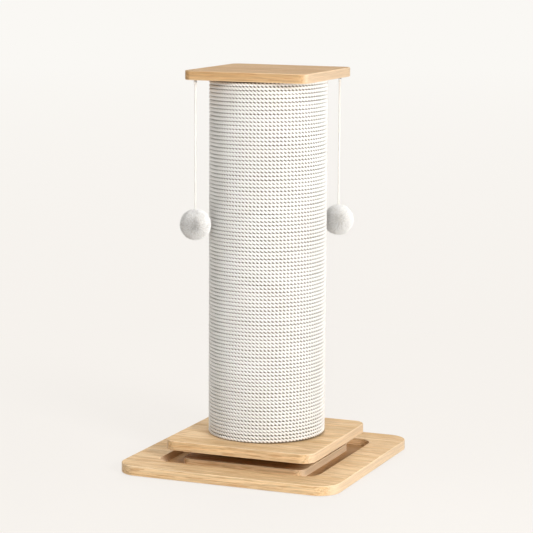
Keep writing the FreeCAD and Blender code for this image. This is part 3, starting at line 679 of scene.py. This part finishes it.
def join(pieces):
    """All the pieces as one object, the first of them."""
    with bpy.context.temp_override(
        active_object=pieces[0], selected_editable_objects=pieces, selected_objects=pieces
    ):
        bpy.ops.object.join()
    return pieces[0]


def strand_section(strands, points_per_strand, valley, shoulder):
    """How far each point of a laid rope's section is from its middle, for a radius of 1.

    It is valley in the dents between the strands. A greater shoulder fills the strands out.
    """
    across = np.linspace(-1, 1, points_per_strand + 1)[:-1]
    one = valley + (1 - valley) * (1 - np.abs(across) ** shoulder)
    return np.tile(one, strands)


def tube_faces(rings, sides):
    """Quads between rings of points, each ring closed on itself, in the rings' order."""
    ring = np.arange(rings - 1)[:, None] * sides
    side = np.arange(sides)[None, :]
    after = (side + 1) % sides
    corners = [ring + side, ring + after, ring + sides + after, ring + sides + side]
    return np.stack(corners, -1).reshape(-1, 4)


def tube_map(lengths, sides):
    """For each corner of tube_faces, the length along the tube and the share of the way round."""
    start = lengths[:-1, None]
    end = lengths[1:, None]
    side = np.arange(sides)[None, :] / sides
    after = side + 1 / sides
    corners = [(start, side), (start, after), (end, after), (end, side)]
    shape = (len(lengths) - 1, sides)
    pairs = [np.stack(np.broadcast_arrays(a, b), -1).reshape(*shape, 2) for a, b in corners]
    return np.stack(pairs, 2).reshape(-1, 2)


def laid_tube(name, line, section, phase, half_out, half_up, material):
    """A tube along the line whose section turns by phase, closed at both ends."""
    sides = len(section)
    angle = phase[:, None] + np.arange(sides)[None, :] * FULL_TURN / sides
    away = (section * np.cos(angle) * half_out[:, None])[..., None] * line.outs[:, None, :]
    aside = (section * np.sin(angle) * half_up[:, None])[..., None] * line.ups[:, None, :]
    points = (line.points[:, None, :] + away + aside).reshape(-1, 3)
    faces = tube_faces(len(line.points), sides)
    around = tube_map(line.lengths, sides)
    first = list(range(sides))[::-1]
    last = list(range(len(points) - sides, len(points)))
    ends = np.array([[line.lengths[0], 0]] * sides + [[line.lengths[-1], 0]] * sides)
    every = faces.tolist() + [first, last]
    return mesh_object(name, points, every, material, np.concatenate([around, ends]))


def wander(values, seed, step, size):
    """A smooth random line over values, about size high, with a knot at every step."""
    rng = np.random.default_rng(seed)
    low = math.floor(values.min() / step) - 1
    count = math.ceil(values.max() / step) - low + 3
    knots = rng.standard_normal(count) * size
    place = values / step - low
    index = place.astype(int)
    share = place - index
    share = share * share * (3 - 2 * share)
    return knots[index] * (1 - share) + knots[index + 1] * share


def travel(points):
    """The line through the points, with directions across it that don't spin."""
    steps = np.diff(points, axis=0)
    lengths = np.concatenate([[0], np.cumsum(np.linalg.norm(steps, axis=1))])
    ways = np.gradient(points, axis=0)
    ways /= np.linalg.norm(ways, axis=1)[:, None]
    across = Vector(ways[0]).orthogonal().normalized()
    outs = []
    for before, way in zip([ways[0], *ways[:-1]], ways):
        across = Vector(before).rotation_difference(Vector(way)) @ across
        outs.append(tuple(across))
    outs = np.array(outs)
    return Line(points, lengths, outs, np.cross(ways, outs))


# ---- rope --------------------------------------------------------------------------------


def make_rope():
    """The five rope lengths, wound row on row up the tube, their strands right-hand laid."""
    material = cotton_rope()
    section = strand_section(**ROPE_SECTION)
    start = ROPE_STOPS[0]
    sweep = ROPE_STOPS[-1] - start
    lag = ROPE_PITCH_GROWTH * sweep / (2 * FULL_TURN)
    lays_per_turn = ROPE_CROSSINGS / ROPE_STRANDS
    for number, (first, last) in enumerate(zip(ROPE_STOPS, ROPE_STOPS[1:]), 1):
        steps = round((last - first) / FULL_TURN * lays_per_turn * ROPE_STEPS_PER_LAY)
        angle = np.linspace(first, last, steps + 1)
        strays = {what: wander(angle, **how) for what, how in ROPE_STRAYS.items()}
        share = (angle - start) / sweep
        radius = ROPE_RADIUS + strays["radius"]
        height = ROPE_BOTTOM + ROPE_RISE * share - lag * share * (1 - share) + strays["height"]
        pitch = (ROPE_RISE - lag * (1 - 2 * share)) * FULL_TURN / sweep
        outs = np.stack([np.cos(angle), np.sin(angle), np.zeros_like(angle)], -1)
        ups = np.tile((0.0, 0.0, 1.0), (len(angle), 1))
        centres = outs * radius[:, None] + ups * height[:, None]
        from_end = ROPE_RADIUS * np.minimum(angle - first, last - angle)
        full = np.clip(from_end / ROPE_END, 0, 1)
        end = (1 - ROPE_END_TAPER) + ROPE_END_TAPER * np.sqrt(full * (2 - full))
        piece = laid_tube(
            f"rope_winding_{number}",
            Line(centres, ROPE_RADIUS * angle, outs, ups),
            section,
            phase=-lays_per_turn * angle + strays["phase"],
            half_out=ROPE_HALF_DEPTH * end * (1 + strays["depth"]),
            half_up=ROPE_FULLNESS * pitch / 2 * end * (1 + strays["width"]),
            material=material,
        )
        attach(piece, "stand")
        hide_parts(f"rope_length_{number}")


# ---- strings, loops and pom-poms ---------------------------------------------------------


def spline_points(name, route):
    """The points of the smooth line that the route's points control."""
    data = bpy.data.curves.new(name, "CURVE")
    data.dimensions = "3D"
    spline = data.splines.new("NURBS")
    spline.points.add(len(route) - 1)
    for point, place in zip(spline.points, route):
        point.co = (*place, 1)
    spline.order_u = 3
    spline.use_endpoint_u = True
    spline.resolution_u = 48
    curve = bpy.data.objects.new(name, data)
    bpy.context.scene.collection.objects.link(curve)
    bpy.context.view_layer.update()
    evaluated = curve.evaluated_get(bpy.context.evaluated_depsgraph_get())
    line = bpy.data.meshes.new_from_object(evaluated)
    points = np.array([vertex.co for vertex in line.vertices])
    bpy.data.objects.remove(curve)
    bpy.data.meshes.remove(line)
    return points


def twisted(name, points, radius, lay, section, material):
    """A thin laid cord along the points, each of its strands going round once in a lay."""
    line = travel(points)
    half = np.full(len(points), radius)
    phase = -FULL_TURN * line.lengths / lay
    return laid_tube(name, line, strand_section(**section), phase, half, half, material)


def make_string(side, material):
    """The twisted string, straight from the knot into the pom-pom, and its line's points."""
    points = spline_points(f"{side}_route", STRING_ROUTES[side])
    fine = np.linspace(0, len(points) - 1, STRING_POINTS)
    known = np.arange(len(points))
    points = np.stack([np.interp(fine, known, points[:, axis]) for axis in range(3)], -1)
    radius = STRING_DIAMETER / 2
    piece = twisted(f"{side}_cord", points, radius, STRING_LAY, STRING_SECTION, material)
    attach(piece, f"{side}_toy")
    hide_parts(f"{side}_string")
    return piece, points


def make_loop(side, material):
    """The string's end: a loop round the staple's crown, wrapped and tied off under it."""
    place = Vector(STRING_ROUTES[side][0])
    outward = np.array(CORNER_DIRECTIONS[side].normalized())
    upward = np.array((0, 0, 1))
    turn = np.linspace(-0.25 * FULL_TURN, 0.75 * FULL_TURN, LOOP_POINTS)[:, None]
    centre = np.array((place.x, place.y, LOOP_CENTRE_Z))
    ring = centre + LOOP_RADIUS * (np.cos(turn) * outward + np.sin(turn) * upward)
    share = np.linspace(0, 1, KNOT_POINTS)
    wrap = share * KNOT_WRAPS * FULL_TURN
    rise = KNOT_TOP - KNOT_BOTTOM - 2 * KNOT_CORD_RADIUS
    wraps = np.stack(
        [
            place.x + KNOT_WRAP_RADIUS * np.cos(wrap),
            place.y + KNOT_WRAP_RADIUS * np.sin(wrap),
            KNOT_BOTTOM + KNOT_CORD_RADIUS + rise * share,
        ],
        -1,
    )
    loop_bottom = LOOP_CENTRE_Z - LOOP_RADIUS
    neck = np.linspace(tuple(place), (place.x, place.y, loop_bottom), NECK_POINTS)
    parts = [
        (f"{side}_loop_ring", ring, LOOP_CORD_RADIUS, LOOP_LAY),
        (f"{side}_loop_wraps", wraps, KNOT_CORD_RADIUS, LOOP_LAY),
        (f"{side}_loop_neck", neck, NECK_RADIUS, NECK_LAY),
    ]
    piece = join([twisted(*part, LOOP_SECTION, material) for part in parts])
    piece.name = f"{side}_loop_and_knot"
    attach(piece, f"{side}_loop")
    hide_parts(f"{side}_string_loop")
    return piece


def even_directions(count, rng, stir):
    """Directions spread evenly over a sphere, each stirred a little."""
    index = np.arange(count) + 0.5
    height = 1 - 2 * index / count
    turn = math.pi * (1 + math.sqrt(5)) * index
    flat = np.sqrt(1 - height**2)
    ways = np.stack([flat * np.cos(turn), flat * np.sin(turn), height], -1)
    ways += rng.standard_normal(ways.shape) * stir
    return ways / np.linalg.norm(ways, axis=1)[:, None]


def yarn_lines(rng, radius):
    """Each strand's direction and clump, and where it starts, bends and ends."""
    ways = even_directions(YARN_ENDS, rng, YARN_STIR)
    clumps = even_directions(CLUMPS, rng, CLUMP_STIR)
    mine = (ways @ clumps.T).argmax(1)
    clump_length = rng.uniform(CLUMP_SHORTEST, 1.0, CLUMPS)[mine]
    tips = ways + CLUMP_PULL * (clumps[mine] - ways)
    tips += rng.standard_normal(tips.shape) * YARN_STIR
    tips /= np.linalg.norm(tips, axis=1)[:, None]
    reach = radius * clump_length * rng.uniform(YARN_SHORTEST, 1.0, YARN_ENDS)
    root = ways * radius * YARN_CORE * YARN_ROOT
    tip = tips * reach[:, None]
    middle = (root + tip) / 2 + rng.standard_normal(tip.shape) * YARN_BEND
    return ways, mine, root, middle, tip


def yarn_points(rng, ways, root, middle, tip):
    """Each strand's points, ring after ring and then its tip, and the way that each faces."""
    across = np.cross(ways, rng.standard_normal(ways.shape))
    across /= np.linalg.norm(across, axis=1)[:, None]
    aside = np.cross(ways, across)
    points = []
    facings = []
    for along, thickness in YARN_RINGS:
        line = root * (1 - along) ** 2 + middle * 2 * along * (1 - along) + tip * along**2
        for number in range(YARN_SIDES):
            turn = FULL_TURN * number / YARN_SIDES
            offset = math.cos(turn) * across + math.sin(turn) * aside
            points.append(line + offset * YARN_RADIUS * thickness)
            facings.append(offset * (1 - YARN_SOFTNESS) + ways * YARN_SOFTNESS)
    points.append(tip)
    facings.append(ways)
    facings = np.stack(facings, 1).reshape(-1, 3)
    facings /= np.linalg.norm(facings, axis=1)[:, None]
    return np.stack(points, 1).reshape(-1, 3), facings


def yarn_faces():
    """The quads of every strand, and then the triangles that close every tip."""
    quads = tube_faces(len(YARN_RINGS), YARN_SIDES)
    last_ring = (len(YARN_RINGS) - 1) * YARN_SIDES
    tip = last_ring + YARN_SIDES
    side = np.arange(YARN_SIDES)
    after = (side + 1) % YARN_SIDES
    caps = np.stack([last_ring + side, last_ring + after, np.full(YARN_SIDES, tip)], -1)
    starts = np.arange(YARN_ENDS)[:, None, None] * (tip + 1)
    return (starts + quads).reshape(-1, 4), (starts + caps).reshape(-1, 3)


def make_pompom(side):
    """Thousands of cut yarn ends round a core, drawn together in clumps."""
    low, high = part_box(f"{side}_pompom")
    centre = np.array((low + high) / 2)
    radius = (high.x - low.x) / 2
    rng = np.random.default_rng(YARN_SEEDS[side])
    ways, mine, *lines = yarn_lines(rng, radius)
    points, facings = yarn_points(rng, ways, *lines)
    clump_shade = rng.uniform(0, 1, CLUMPS)[mine]
    own_shade = rng.uniform(0, 1, YARN_ENDS)
    shade = CLUMP_SHADE_SHARE * clump_shade + (1 - CLUMP_SHADE_SHARE) * own_shade
    quads, tris = yarn_faces()
    # The map has a strand's shade, and beside it a 1 at the strand's tip.
    quad_map = np.stack([np.repeat(shade, quads.size // YARN_ENDS), np.zeros(quads.size)], -1)
    tri_map = np.stack([np.repeat(shade, tris.size // YARN_ENDS), np.ones(tris.size)], -1)
    around = np.concatenate([quad_map, tri_map])
    material = yarn(side)
    every = quads.tolist() + tris.tolist()
    piece = mesh_object(f"{side}_yarn_ball", centre + points, every, material, around)
    piece.data.normals_split_custom_set_from_vertices(facings.tolist())
    bpy.ops.mesh.primitive_ico_sphere_add(
        subdivisions=CORE_SUBDIVISIONS, radius=radius * YARN_CORE, location=centre
    )
    core = bpy.context.object
    core.data.materials.append(material)
    piece = join([piece, core])
    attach(piece, f"{side}_toy")
    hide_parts(f"{side}_pompom")
    return piece


def make_toys():
    """Both strings with their loops and pom-poms."""
    material = string_cord()
    for side, route in STRING_ROUTES.items():
        string, points = make_string(side, material)
        loop = make_loop(side, material)
        pompom = make_pompom(side)


# ---- the scene ---------------------------------------------------------------------------

bpy.context.scene.view_settings.view_transform = "Standard"
make_camera()
make_world()
for lamp_name, lamp in LAMPS.items():
    make_panel(lamp_name, **lamp)
make_floor()
make_toys()
make_rope()
dress_frame()
